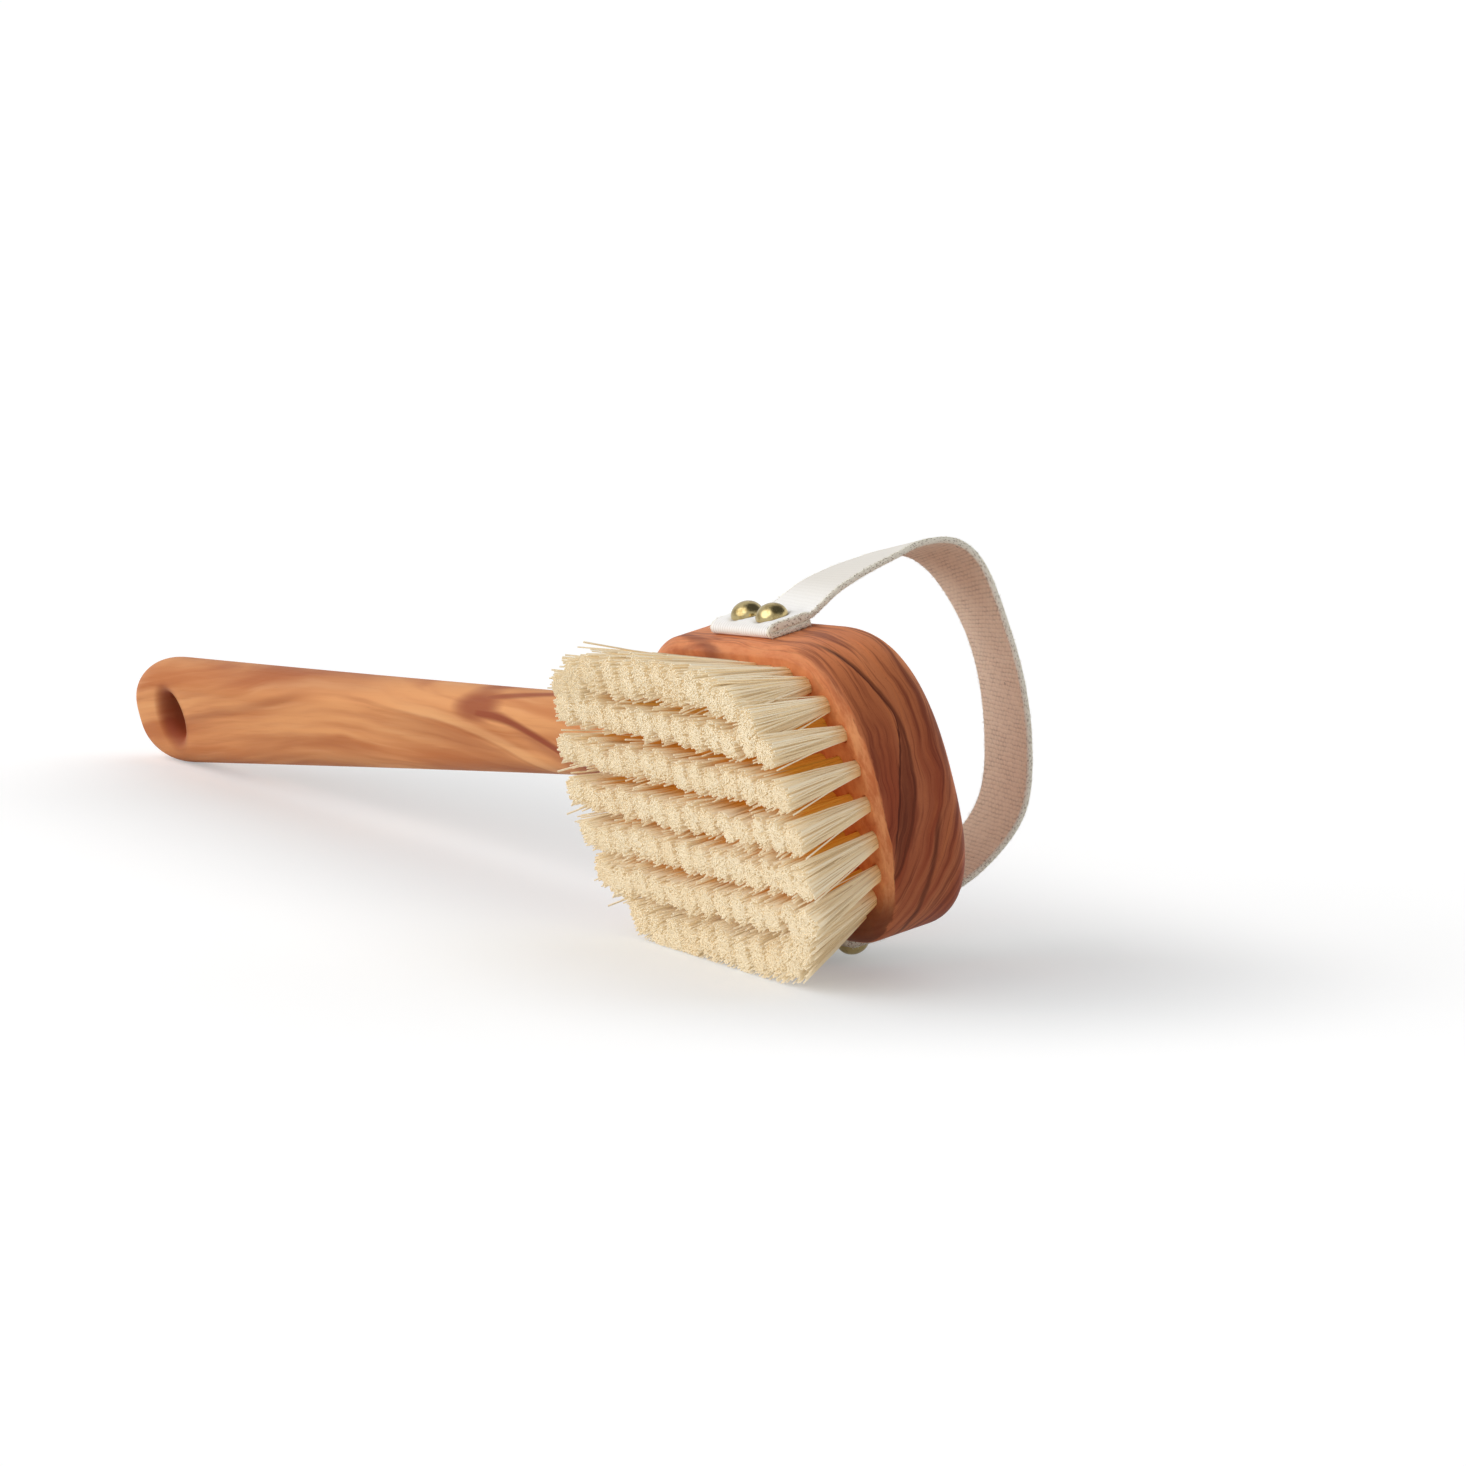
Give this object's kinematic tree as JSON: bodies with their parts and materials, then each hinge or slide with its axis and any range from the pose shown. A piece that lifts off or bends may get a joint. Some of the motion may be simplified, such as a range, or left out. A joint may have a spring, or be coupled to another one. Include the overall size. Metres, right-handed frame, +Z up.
{
  "type": "bath brush",
  "caption": "Wooden bath brush: oval head with tufted natural bristles, a webbing hand strap held by brass dome nails, and a long flat handle that pulls out of the head's end.",
  "frame": {"origin": "on the floor under the middle of the brush's box", "axes": "+X from the handle's end towards the head, +Z up; the bristles point towards -Y and the hand strap is on the +Y side"},
  "size_m": [0.4386, 0.0944, 0.0948],
  "materials": {
    "head_wood": "satin oiled, reddish brown",
    "handle_wood": "satin oiled, light brown with dark figure",
    "bristle": "natural fibre, cream",
    "webbing": "woven cotton, off-white",
    "nail": "polished, slightly aged"
  },
  "bodies": {
    "head": {"head_block": "head_wood", "bristles_upper": "bristle", "bristles_middle": "bristle", "bristles_lower": "bristle", "hand_strap": "webbing", "upper_nail_free_end": "nail", "upper_nail_handle_end": "nail", "lower_nail_free_end": "nail", "lower_nail_handle_end": "nail"},
    "handle": {"handle": "handle_wood"}
  },
  "joints": [
    {"name": "handle_pull", "type": "slide", "parent": "head", "child": "handle", "axis": [-0.9954, -0.0255, -0.0922], "range_m": [0, 0.032]}
  ]
}
